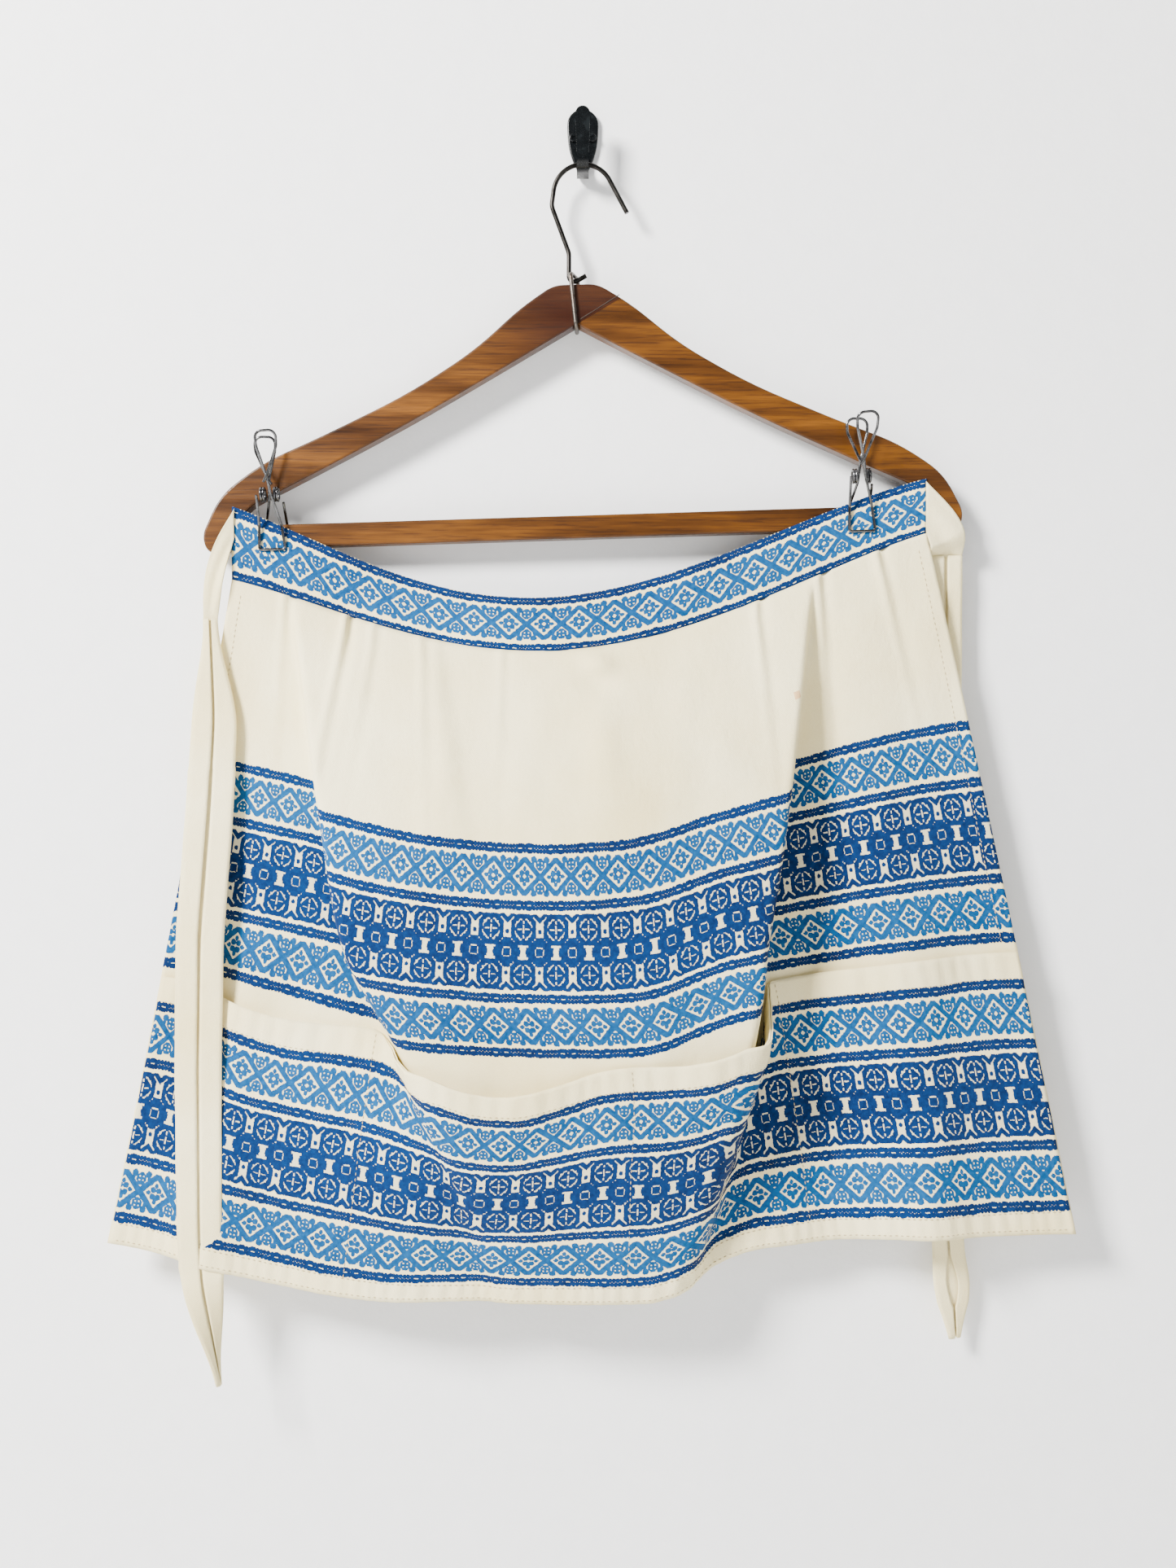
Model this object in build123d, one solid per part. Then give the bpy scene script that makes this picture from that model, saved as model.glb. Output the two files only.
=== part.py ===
"""A half apron clipped to a wooden trouser hanger that hangs on a small wall hook.

Frame: millimetres, +Z up, +Y into the wall, +X to the right as seen from the room.
The origin is on the back face of the wall hook, which lies on the wall plane y = 0.
The hanger hangs a little askew, so its own parts are drawn level and turned afterwards.
"""
from build123d import *
from math import cos, pi, radians, sin, tan
import os

# ---- wall hook ----
HOOK_PLATE_WIDTH = 18.5
HOOK_PLATE_TOP = 19.0
HOOK_PLATE_BOTTOM = -19.5
HOOK_PLATE_THICK = 3.0
PRONG_WIDTH_BOTTOM = 7.0
PRONG_WIDTH_TOP = 8.4
PRONG_THICK = 4.0
PRONG_FRONT_Y = -22.0       # middle of the upright prong
PRONG_TOP = 12.5
CRADLE_TOP = -19.8          # the surface that the hanger's wire rests on
PRONG_BEND = 5.5
PRONG_EDGE_R = 1.2
PLATE_EDGE_R = 1.0
PLATE_NARROWING = (3.4, 6.2)    # how far each side comes in half way down and at the foot
SCREW_SPACING = 11.0
SCREW_Z = 1.5
SCREW_SHANK_R = 1.5
SCREW_NECK_R = 1.7
SCREW_HOLE_R = 1.9
SCREW_HEAD_R = 2.5
SCREW_HEAD_HEIGHT = 1.6
SCREW_HEAD_EDGE_R = 0.7
SCREW_LENGTH = 16.0
SCREW_SLOT = 0.7
SCREW_SLOT_LENGTH = 2.6

# ---- hanger: wood ----
TILT_DEG = 1.78             # the right arm hangs higher
APEX_X, APEX_Z = -4.3, -89.8
WOOD_Y = -13.0              # middle of the wood's thickness
WOOD_THICK = 12.0
LAYER = WOOD_THICK / 3      # the three fingers of the apex joint
APEX_DEPTH = 23.5           # height of the wood at the apex
JOINT_SLOPE_DEG = 29.0      # the arms' lower edges leave the apex at this slope
JOINT_GAP = 0.12
WOOD_EDGE_R = 1.2
BAR_TOP, BAR_BOTTOM = -135.1, -148.5
BAR_BACK_Y, BAR_FRONT_Y = -8.6, -18.6
BAR_HALF_LENGTH = 213.0
BAR_EDGE_R = 1.2
BRAD_R = 0.7
BRAD_X = 209.5
BRAD_Z = (BAR_TOP + BAR_BOTTOM) / 2

# ---- hanger: wire ----
WIRE_R = 1.4
CRADLE_GAP = 0.75
STUB = 6.2
LINK_R = 1.25
LINK_TOP_Z = -83.6          # centre of the link's top bar, which is also the swing axis
SWING_X = -5.0
CROWN_X, CROWN_R = 0.3, 17.5      # centre line of the arc that rests in the cradle
EYE_GAP = 0.45              # running clearance between the wire's eye and the link

# ---- pegs ----
PEG_WIRE_R = 0.8
PEG_X = (("left", -181.5), ("right", 162.8))   # along the level hanger
COIL_Z = -118.5
COIL_Y = -24.9
COIL_MEAN_R = 3.7
COIL_TURNS = 2
COIL_INNER_X = 2.4
PEG_TOP, PEG_BOTTOM = 34.0, -31.5              # from the coil's axis
JAW_HALF_WIDTH = 7.6
LOOP_HALF_WIDTH = 6.6
FRONT_JAW_Y = -21.7
REAR_JAW_Y = -7.5
LEG_KNEE_Z = -17.0           # where the legs turn parallel to the jaw
CROSSING_Z = 9.0             # where the handle's two runs cross
LOOP_LOW_Z = 25.0            # the handle loop's widest place

# ---- apron ----
CLOTH = 1.2                 # thickness of each cloth solid
SEAM_LEFT, SEAM_RIGHT = -205.0, 201.0
HEM_LEFT, HEM_RIGHT = -276.0, 286.0
FLARE_LATE = 0.2            # how late the left edge flares
BAND_Y = -19.9              # the waistband lies against the horns and the bar
BELLY = 30.0
SEAM_BULGE = 11.0
HEM_TURN = 0.037            # share of the skirt's length in the bottom hem
SIDE_HEM = 0.035            # share of half the skirt's width in each side hem
MOUTH_SIDE, MOUTH_SAG = 0.61, 0.035
MOUTH_OFFSET = 7.0
POCKET_GAPE = 5.5           # extra opening at the middle pocket's mouth
GAPE_CENTRE, GAPE_WIDTH = -0.17, 0.2
FOOT_OFFSET = 2.0
POCKET_HEM = 0.11           # share of the panel's length in its top hem
TURN = 1.5                  # how far a turned hem stands behind its cloth
POCKET_TURN = 2.0
COLUMNS, ROWS = 23, 8       # grid of points behind each cloth surface

# ---- ties ----
LEFT_TIE_X = (-231.0, -205.0)
TIE_THICK = 2.4
LEFT_TIE_Y = -22.5
RIGHT_TIE_Y = -12.5
TIE_TOP_THICK = 1.2
# Outlines seen from the front, as (x, z).
LEFT_TOP_OUTLINE = [(-205.3, -221), (-211, -228), (-217, -245), (-221, -268), (-222.5, -287),
                    (-198, -287), (-200, -272), (-205.3, -263)]
LEFT_TIE_OUTLINE = [(-225, -288), (-227, -340), (-231, -480), (-231, -640), (-217, -726),
                    (-207, -726), (-205, -640), (-204.9, -480), (-198, -340), (-196, -288)]
LEFT_TIE_ROUTE = [(-23.3, -288), (-29, -380), (-38.6, -470), (-42, -550), (-41, -726)]     # as (y, z)
RIGHT_TOP_OUTLINE = [(201.3, -205), (209, -208), (222, -222), (228, -240), (207, -240), (201.3, -234)]
RIGHT_TURN_ROUTE = [(-20.5, -239.5), (-20.4, -245), (-12.6, -250.6)]                       # as (y, z)
RIGHT_TIE_OUTLINE = [(208, -252), (227, -252), (227, -640), (229, -675), (224, -708),
                     (219, -708), (211, -675), (208, -640)]

# Right-hand arm of the level hanger as (x, z) from the apex: corners that the outline rounds off.
ARM_OUTLINE = [(0, 0), (13, 0), (33, -13), (60, -36.5), (100, -61), (153, -85), (186, -98.5), (212, -117),
               (223, -140), (220.5, -150), (209, -152.5), (204.5, -138), (195, -124), (172, -113.5),
               (103, -80), (37, -44), (0, -APEX_DEPTH)]


def save(node, shape):
    """Write one named sub-part."""
    export_step(shape, f"parts/{node}.step")


def level(shape):
    """Move a piece of the level hanger to where it hangs: askew, under the hook."""
    return Pos(APEX_X, 0, APEX_Z) * Rot(0, -TILT_DEG, 0) * shape


def hung(x, y, z):
    """The place in the row frame of a point of the level hanger."""
    a = radians(TILT_DEG)
    return (APEX_X + x * cos(a) - z * sin(a), y, APEX_Z + x * sin(a) + z * cos(a))


def upright(face, y_back, depth):
    """Extrude a face of the XZ plane forwards from y_back."""
    return extrude(Pos(0, y_back, 0) * face, amount=depth, dir=(0, -1, 0))


def outline(points):
    """A straight-sided face in the XZ plane."""
    return make_face(Polyline(*[(x, 0, z) for x, z in points], close=True))


def wire_along(points, radii, radius):
    """Round wire along straight runs joined by arcs."""
    path = FilletPolyline(*points, radius=radii)
    start = Plane(origin=path @ 0, z_dir=path % 0)
    return sweep(start * Circle(radius), path=path)


# ---------------------------------------------------------------- wall hook
def hook_plate():
    """Teardrop back plate, wide and round at the top."""
    half = HOOK_PLATE_WIDTH / 2
    top_centre = HOOK_PLATE_TOP - half
    middle, foot_x = (half - inwards for inwards in PLATE_NARROWING)
    right = Spline((half, 0, top_centre), (middle, 0, -12.0), (foot_x, 0, HOOK_PLATE_BOTTOM + 1.8),
                   tangents=[(0, 0, -1), (-0.6, 0, -1)])
    left = mirror(right, Plane.YZ)
    foot = ThreePointArc(right @ 1, (0, 0, HOOK_PLATE_BOTTOM), left @ 1)
    crown = ThreePointArc(left @ 0, (0, 0, HOOK_PLATE_TOP), right @ 0)
    plate = upright(make_face([right, foot, left, crown]), 0, HOOK_PLATE_THICK)
    front = plate.faces().sort_by(Axis.Y)[0]
    plate = fillet(front.edges(), PLATE_EDGE_R)
    for side in (-1, 1):
        hole = Cylinder(SCREW_HOLE_R, 3 * HOOK_PLATE_THICK, rotation=(90, 0, 0))
        plate -= Pos(side * SCREW_SPACING / 2, 0, SCREW_Z) * hole
    return plate


def hook_prong():
    """Strip that leaves the plate's foot, runs forwards as a cradle and turns up to a round tip."""
    back_y = -HOOK_PLATE_THICK / 2 - 0.3
    low = CRADLE_TOP - PRONG_THICK / 2
    path = FilletPolyline((0, back_y, -11), (0, back_y, low), (0, PRONG_FRONT_Y, low),
                          (0, PRONG_FRONT_Y - 0.4, PRONG_TOP), radius=PRONG_BEND)
    section = Plane(origin=path @ 0, x_dir=(1, 0, 0), z_dir=path % 0)
    strip = sweep(section * RectangleRounded(2 * PRONG_WIDTH_TOP, PRONG_THICK, PRONG_EDGE_R), path=path)
    top = PRONG_WIDTH_TOP / 2
    foot = PRONG_WIDTH_BOTTOM / 2
    low_z = low - PRONG_THICK
    front = [(-foot, low_z), (-foot, -14), (-top, 4), (-top, PRONG_TOP - top)]
    silhouette = make_face([
        Polyline(*[(x, 0, z) for x, z in front]),
        ThreePointArc((-top, 0, PRONG_TOP - top), (0, 0, PRONG_TOP), (top, 0, PRONG_TOP - top)),
        Polyline(*[(-x, 0, z) for x, z in reversed(front)]),
        Line((foot, 0, low_z), (-foot, 0, low_z)),
    ])
    return strip & upright(silhouette, 1, 40)


def wall_hook():
    """Plate and prong are one casting."""
    return hook_plate() + (hook_prong() & Pos(0, -20, 0) * Box(60, 39.98, 120))


def wall_hook_screws():
    """Two pan-head screws with a cross slot; the threads go into the wall."""
    screws = []
    for side in (-1, 1):
        head = Cylinder(SCREW_HEAD_R, SCREW_HEAD_HEIGHT, rotation=(90, 0, 0))
        head = Pos(0, -HOOK_PLATE_THICK - SCREW_HEAD_HEIGHT / 2, 0) * head
        head = fillet(head.edges().sort_by(Axis.Y)[0], SCREW_HEAD_EDGE_R)
        for turn in (45, 135):
            slot = Box(SCREW_SLOT_LENGTH, SCREW_HEAD_HEIGHT, SCREW_SLOT, rotation=(0, turn, 0))
            head -= Pos(0, -HOOK_PLATE_THICK - SCREW_HEAD_HEIGHT, 0) * slot
        neck = Pos(0, -HOOK_PLATE_THICK / 2, 0) * Cylinder(SCREW_NECK_R, HOOK_PLATE_THICK, rotation=(90, 0, 0))
        shank = Pos(0, SCREW_LENGTH / 2, 0) * Cylinder(SCREW_SHANK_R, SCREW_LENGTH, rotation=(90, 0, 0))
        screws.append(Pos(side * SCREW_SPACING / 2, 0, SCREW_Z) * (head + neck + shank))
    return Compound(children=screws)


# ---------------------------------------------------------------- hanger
def round_radii(points):
    """For each inner corner of a route, the radius whose arc takes most of the shorter run beside it."""
    places = [Vector(*p) for p in points]
    radii = []
    for before, corner, after in zip(places, places[1:], places[2:]):
        shorter = min((corner - before).length, (after - corner).length)
        turn = radians((corner - before).get_angle(after - corner))
        radii.append(0.46 * shorter / tan(turn / 2))
    return radii


def arm_face():
    """The right-hand arm's outline, with its down-turned horn."""
    points = [(x, 0, z) for x, z in ARM_OUTLINE]
    rim = FilletPolyline(*points, radius=round_radii(points))
    return make_face([*rim.edges(), Line(points[-1], points[0])])


def finger_region(gap):
    """The wedge right of the apex that belongs to the left arm's fingers."""
    rise = tan(radians(JOINT_SLOPE_DEG))
    reach = 60.0
    low = -APEX_DEPTH + gap
    return outline([(0, low), (reach, low + rise * reach), (reach, 20), (0, 20)])


def layer(face, number):
    """Extrude a face over one of the three layers of the wood, 0 at the back."""
    return upright(face, WOOD_Y + WOOD_THICK / 2 - LAYER * number, LAYER)


def bar_solid():
    """The trouser bar, whose square ends are let into the horns."""
    depth = BAR_BACK_Y - BAR_FRONT_Y
    bar = Box(2 * BAR_HALF_LENGTH, depth, BAR_TOP - BAR_BOTTOM)
    bar = Pos(0, (BAR_BACK_Y + BAR_FRONT_Y) / 2, BRAD_Z) * bar
    return fillet(bar.edges().filter_by(Axis.X), BAR_EDGE_R)


def brads():
    """Headless nails that pin the bar's ends in the horns."""
    pins = []
    for side in (-1, 1):
        pin = Cylinder(BRAD_R, WOOD_THICK, rotation=(90, 0, 0))
        pins.append(Pos(side * BRAD_X, WOOD_Y, BRAD_Z) * pin)
    return pins


def arms():
    """Both arms, with fingers that cross at the apex, mortises for the bar and nail holes."""
    whole = arm_face()
    wedge = finger_region(0)
    plain = whole - finger_region(-JOINT_GAP)
    crossed = whole + mirror(whole & wedge, Plane.YZ)
    blank = upright(whole, WOOD_Y + WOOD_THICK / 2, WOOD_THICK)
    flats = blank.faces().filter_by(Axis.Y)
    rims = [edge for face in flats for edge in face.edges() if abs(edge.center().X) > 1]
    blank = fillet(rims, WOOD_EDGE_R)
    rounded = blank + mirror(blank, Plane.YZ)
    made = []
    for flip, fingers in ((True, (0, 2)), (False, (1,))):
        arm = None
        for number in range(3):
            if number in fingers:
                face = mirror(whole, Plane.YZ) + (whole & wedge) if flip else crossed
            else:
                face = mirror(plain, Plane.YZ) if flip else plain
            slab = layer(face, number)
            arm = slab if arm is None else arm + slab
        arm = arm & rounded
        for tool in [bar_solid()] + brads():
            arm -= tool
        made.append(arm)
    return made


def trouser_bar():
    """The bar with its two nail holes."""
    bar = bar_solid()
    for pin in brads():
        bar -= pin
    return bar


def hanger_wire_hook():
    """Hook wire: free tip, round crown over the prong, S down to an eye and a short stub."""
    bend = LINK_R + EYE_GAP + WIRE_R
    y = WOOD_Y
    centre_z = CRADLE_TOP + CRADLE_GAP + WIRE_R - CROWN_R
    tip_angle, back_angle, stub_angle = 28, 172, 300
    tip_length, shoulder_length, neck_z = 22.0, 9.5, -70.0

    def crown(angle, along=0.0):
        """A point of the crown's arc, or one on its tangent there."""
        a = radians(angle)
        return (CROWN_X + CROWN_R * cos(a) - along * sin(a), y, centre_z + CROWN_R * sin(a) + along * cos(a))

    def eye(angle, along=0.0):
        """A point of the eye's arc, or one on its tangent there."""
        a = radians(angle)
        return (SWING_X + bend * cos(a) - along * sin(a), y, LINK_TOP_Z + bend * sin(a) + along * cos(a))

    tip = Line(crown(tip_angle, -tip_length), crown(tip_angle))
    arc = ThreePointArc(crown(tip_angle), crown(90), crown(back_angle))
    neck = FilletPolyline(crown(back_angle), crown(back_angle, shoulder_length),
                          (SWING_X - bend, y, neck_z), eye(180), radius=8.5)
    turn = ThreePointArc(eye(180), eye(240), eye(stub_angle))
    stub = Line(eye(stub_angle), eye(stub_angle, STUB))
    path = Wire([tip.edge(), arc.edge(), *neck.edges(), turn.edge(), stub.edge()])
    start = Plane(origin=path @ 0, z_dir=path % 0)
    return sweep(start * Circle(WIRE_R), path=path)


def hanger_link():
    """Wire ring round the apex joint, butted closed at the back."""
    front = WOOD_Y - WOOD_THICK / 2 - LINK_R - 0.3
    back = WOOD_Y + WOOD_THICK / 2 + LINK_R + 0.3
    foot_x = hung(0, 0, -APEX_DEPTH)[0]
    low = hung(0, 0, -APEX_DEPTH)[2] - LINK_R - 0.9
    middle = (LINK_TOP_Z + low) / 2
    skew = 2.2
    points = [(SWING_X + skew * 0.6, back, middle - 0.2), (SWING_X + skew, back, LINK_TOP_Z),
              (SWING_X - skew, front, LINK_TOP_Z), (foot_x - 0.2, front, low), (foot_x + 0.2, back, low),
              (foot_x + 0.3 * (SWING_X + skew - foot_x), back, middle - 0.5)]
    return wire_along(points, 3.0, LINK_R)


# ---------------------------------------------------------------- pegs
def peg_coils():
    """Two stacks of spring turns on one axis, drawn as closed turns side by side."""
    turns = []
    for side in (-1, 1):
        for n in range(COIL_TURNS):
            x = side * (COIL_INNER_X + PEG_WIRE_R + n * 1.9 * PEG_WIRE_R)
            turns.append(Pos(x, 0, 0) * Rot(0, 90, 0) * Torus(COIL_MEAN_R, PEG_WIRE_R))
    stacks = turns[0]
    for turn in turns[1:]:
        stacks += turn
    return stacks


def peg_half(rear):
    """One half of a peg: jaw, crossing legs and handle loop, from one bent wire."""
    clear_y = COIL_MEAN_R + 2 * PEG_WIRE_R + 0.3    # a wire's middle just outside the coils
    if rear:
        jaw_y = REAR_JAW_Y - COIL_Y
        start_y, knee = clear_y, (jaw_y, LEG_KNEE_Z)
        start_z, handle_y, lean, hand = -4.0, 1.0, -0.06, -1
    else:
        jaw_y = FRONT_JAW_Y - COIL_Y
        start_y, knee = -clear_y, (jaw_y - 0.9, LEG_KNEE_Z)
        start_z, handle_y, lean, hand = -1.0, -clear_y, -0.42, 1

    def at(x, z, shift=0.0):
        """A point of the handle, on its leaning plane."""
        return (hand * x, handle_y + lean * z + shift, z)

    jaw_x = JAW_HALF_WIDTH
    reach_x = COIL_INNER_X + 5.6 * PEG_WIRE_R
    points = [
        (hand * -reach_x, start_y, start_z),
        (hand * -(reach_x + 0.1), knee[0], knee[1]),
        (hand * -jaw_x, jaw_y, PEG_BOTTOM),
        (hand * jaw_x, jaw_y, PEG_BOTTOM),
        (hand * (reach_x - 1.0), knee[0], knee[1]),
        (hand * 1.4, start_y, start_z + 1.0),
        at(0.2, CROSSING_Z),
        at(-LOOP_HALF_WIDTH + 2.6, LOOP_LOW_Z),
        at(-LOOP_HALF_WIDTH + 2.2, PEG_TOP - 1.0),
        at(LOOP_HALF_WIDTH + 1.4, PEG_TOP - 0.4),
        at(LOOP_HALF_WIDTH + 0.8, LOOP_LOW_Z),
        at(0.6, CROSSING_Z, -1.9),
        at(-1.6, 5.6, -1.9),
    ]
    radii = [6, 1.6, 1.6, 6, 6, 8, 6, 4.2, 4.2, 6, 1.5]
    return wire_along(points, radii, PEG_WIRE_R)


def place_peg(x, shape):
    """Set a peg piece, drawn about its coil's axis, on the bar."""
    return level(Pos(x, COIL_Y, COIL_Z) * shape)


# ---------------------------------------------------------------- apron
def bulge(u):
    """Zero where the pegs and horns hold the cloth flat, one in the middle."""
    return max(0.0, 1 - (u / 0.75) ** 2) ** 2


def sag(u):
    """The waistband's droop, one in the middle and zero at its ends."""
    return 0.5 * (1 - u * u) * (2 - u * u)


def seam_z(u):
    """Height of the waistband's lower edge, which sags between the pegs."""
    return -249.2 + 13.6 * u + 2 * sin(pi * u) - 55 * sag(u)


def band_top_z(u):
    """Height of the waistband's upper edge."""
    return -211.9 + 8.1 * u + 6 * sin(pi * u) - 60 * sag(u)


def hem_z(u):
    """Height of the skirt's bottom edge."""
    return -645.5 + 2.5 * u - 29 * (1 - u ** 4)


def skirt_point(u, f, off=0.0):
    """A point of the skirt: u from -1 at the left edge to 1, f from 0 at the seam to 1 at the hem."""
    left = SEAM_LEFT + (HEM_LEFT - SEAM_LEFT) * f * (1 - FLARE_LATE + FLARE_LATE * f)
    right = SEAM_RIGHT + (HEM_RIGHT - SEAM_RIGHT) * f
    x = (left + right) / 2 + u * (right - left) / 2
    belly = BELLY * sin(0.75 * pi * f) * (1 - u * u) ** 2
    y = BAND_Y - 9 * f - SEAM_BULGE * bulge(u) * (1 - f) - belly
    z = seam_z(u) + f * (hem_z(u) - seam_z(u))
    return (x, y + off, z)


def band_point(u, v):
    """A point of the waistband: v from 0 at its top edge to 1 at the seam."""
    x = (SEAM_LEFT + SEAM_RIGHT) / 2 + u * (SEAM_RIGHT - SEAM_LEFT) / 2
    y = BAND_Y - bulge(u) * (3 + (SEAM_BULGE - 3) * v)
    return (x, y, band_top_z(u) + v * (seam_z(u) - band_top_z(u)))


def mouth(u):
    """How far down the skirt the pocket panel's top edge lies."""
    return MOUTH_SIDE + MOUTH_SAG * (1 - u * u)


def panel_offset(u, g):
    """How far the pocket panel stands in front of the skirt, g from 0 at its mouth to 1 at the hem."""
    gape = POCKET_GAPE * max(0.0, 1 - ((u - GAPE_CENTRE) / GAPE_WIDTH) ** 2) ** 2
    return -(FOOT_OFFSET + (MOUTH_OFFSET - FOOT_OFFSET + gape) * (1 - g) ** 1.5)


def cloth(point, columns=COLUMNS, rows=ROWS, thick=CLOTH):
    """A cloth solid from a function of two shares, across and down, thickened along Y."""
    grid = [[Vector(*point(i / (columns - 1), j / (rows - 1))) for j in range(rows)] for i in range(columns)]
    face = Face.make_surface_from_array_of_points(grid)
    return extrude(Pos(0, -thick / 2, 0) * face, amount=thick, dir=(0, 1, 0))


def hem_strip(point, points=41, thick=CLOTH):
    """A narrow cloth solid between the two long edges point(share, 0) and point(share, 1)."""
    edges = [Spline(*[point(i / (points - 1), side) for i in range(points)]) for side in (0, 1)]
    face = Face.make_surface_from_curves(*edges)
    return extrude(Pos(0, -thick / 2, 0) * face, amount=thick, dir=(0, 1, 0))


def between(low, high, share):
    """Straight interpolation."""
    return low + (high - low) * share


def panel_point(u, g, behind=0.0):
    """A point of the pocket panel."""
    f = between(mouth(u), 0.995, g)
    return skirt_point(u, f, panel_offset(u, g) + behind)


def apron_pieces():
    """Waistband, skirt, pocket panel and the turned hems, by node name."""
    return {
        "waistband": cloth(lambda a, b: band_point(between(-1, 1, a), between(0, 0.99, b)), rows=5),
        "skirt": cloth(lambda a, b: skirt_point(between(-1, 1, a), between(0.003, 1, b)), rows=11),
        "pocket_panel": cloth(lambda a, b: panel_point(between(-0.995, 0.995, a), b), columns=41, rows=12),
        "pocket_top_hem": hem_strip(lambda a, b: panel_point(between(-0.995, 0.995, a), b * POCKET_HEM,
                                                             POCKET_TURN)),
        "bottom_hem": hem_strip(lambda a, b: skirt_point(between(-0.955, 0.955, a), 1 - b * HEM_TURN, TURN)),
        "left_side_hem": hem_strip(lambda a, b: skirt_point(-1 + b * SIDE_HEM, between(0.004, 1, a), TURN)),
        "right_side_hem": hem_strip(lambda a, b: skirt_point(1 - b * SIDE_HEM, between(0.004, 1, a), TURN)),
    }


# ---------------------------------------------------------------- ties
def strip_yz(path_points, radii, x_range, thick):
    """A flat strip that follows a path in the YZ plane and spans x_range."""
    low, high = x_range
    path = FilletPolyline(*[(low, y, z) for y, z in path_points], radius=radii)
    start = path % 0
    section = Plane(origin=path @ 0, x_dir=(1, 0, 0), z_dir=start)
    width = high - low
    return sweep(section * (Pos(width / 2, 0, 0) * Rectangle(width, thick)), path=path)


def left_tie_top():
    """The tie's first stretch, folded over the horn from the waistband's end."""
    return upright(outline(LEFT_TOP_OUTLINE), LEFT_TIE_Y + 0.8, 1.6)


def left_tie():
    """The hanging stretch, lying on the skirt and over the pocket's edge, narrowing to a rolled tip."""
    strip = strip_yz(LEFT_TIE_ROUTE, [150, 150, 150], LEFT_TIE_X, TIE_THICK)
    return strip & upright(outline(LEFT_TIE_OUTLINE), 0, 60)


def right_tie_top():
    """The other tie's first stretch: across the horn's front, then back under its tip."""
    flap = upright(outline(RIGHT_TOP_OUTLINE), BAND_Y + TIE_TOP_THICK / 2, TIE_TOP_THICK)
    return flap + strip_yz(RIGHT_TURN_ROUTE, [4], (207.0, 228.0), TIE_TOP_THICK)


def right_tie():
    """The hanging stretch behind the skirt, with a rolled lower end."""
    return upright(outline(RIGHT_TIE_OUTLINE), RIGHT_TIE_Y + TIE_THICK / 2, TIE_THICK)


def main():
    os.makedirs("parts", exist_ok=True)
    save("wall_hook", wall_hook())
    save("wall_hook_screws", wall_hook_screws())
    save("hanger_wire_hook", hanger_wire_hook())
    save("hanger_link", hanger_link())
    left_arm, right_arm = arms()
    save("left_arm", level(left_arm))
    save("right_arm", level(right_arm))
    save("trouser_bar", level(trouser_bar()))
    save("bar_brads", level(Compound(children=brads())))
    for side, x in PEG_X:
        save(f"{side}_peg_rear", place_peg(x, peg_half(rear=True)))
        save(f"{side}_peg_front", place_peg(x, peg_half(rear=False)))
        save(f"{side}_peg_coils", place_peg(x, peg_coils()))
    for node, shape in apron_pieces().items():
        save(node, shape)
    save("left_tie_top", left_tie_top())
    save("left_tie", left_tie())
    save("right_tie_top", right_tie_top())
    save("right_tie", right_tie())


main()
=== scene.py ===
import math

import bmesh
import bpy
import numpy as np
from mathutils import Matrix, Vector


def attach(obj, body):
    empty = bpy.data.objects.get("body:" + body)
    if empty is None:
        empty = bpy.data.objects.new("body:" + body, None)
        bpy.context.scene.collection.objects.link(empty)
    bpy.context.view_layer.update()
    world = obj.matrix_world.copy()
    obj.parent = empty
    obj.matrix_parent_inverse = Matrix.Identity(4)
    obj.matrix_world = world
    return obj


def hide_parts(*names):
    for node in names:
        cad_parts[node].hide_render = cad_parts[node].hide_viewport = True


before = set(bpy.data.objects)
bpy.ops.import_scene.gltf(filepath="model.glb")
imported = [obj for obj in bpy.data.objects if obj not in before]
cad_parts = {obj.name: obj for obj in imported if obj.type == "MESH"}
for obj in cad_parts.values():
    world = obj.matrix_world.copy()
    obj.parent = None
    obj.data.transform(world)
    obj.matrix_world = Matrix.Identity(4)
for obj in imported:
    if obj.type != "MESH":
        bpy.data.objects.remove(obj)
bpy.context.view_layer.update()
MM = 0.001

# ---------------------------------------------------------------- sizes, in millimetres
# u is a place across, from -1 at the skirt's left edge to 1 at its right; s is the same in flat millimetres
# f is a place down, from 0 at the seam to 1 at the hem; g is the same on the pocket panel, from its mouth
SEAM_LEFT, SEAM_RIGHT = -205.0, 201.0
HEM_LEFT, HEM_RIGHT = -276.0, 286.0
FLARE_LATE = 0.2            # share of the left flare that comes in the lower part
BAND_TOP_Z, BAND_TOP_RISE, BAND_TOP_SAG = -211.9, 8.1, 60.0
SEAM_Z, SEAM_RISE, SEAM_SAG = -249.2, 13.6, 55.0
HEM_Z, HEM_RISE, HEM_BOW, BELLY_DROP = -645.5, 2.5, 7.0, 23.0
BAND_Y = -19.9
SEAM_BULGE = 11.0           # how far the seam's middle stands in front of its ends
BAND_TOP_BULGE = 3.0
FLAT_HALF = 305.0           # half the skirt's flat width
FLAT_LENGTH = 412.0         # skirt below the waistband
BAND_HALF = 215.0           # half the waistband's length
BAND_HEIGHT = 39.0
BAND_THICK = 1.3
FABRIC = 0.7
FOLD_DEPTH = 40.0
WALL_TURN_DEG = 97.0        # a fold's wall leans a little past straight back
SIDE_HEM = 9.5
HEM_BACK = 1.2              # how far a turned hem lies behind the skirt
POCKET_HEM_BACK = 1.1
MOUTH = 0.612               # the pocket's top edge, as a share of the skirt
POCKET_SEAMS = (-0.995, -0.51, 0.056, 0.454, 0.995)
POCKET_GAPES = (3.0, 9.0, 8.0, 2.5)
POCKET_SAGS = (0.020, 0.042, 0.028, 0.002)
PANEL_LIFT = 2.4
PANEL_END = 0.998           # the panel's lower edge, as a share of the skirt
SEAM_LIFT, MOUTH_SEAM_LIFT = 0.05, 0.02

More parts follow.
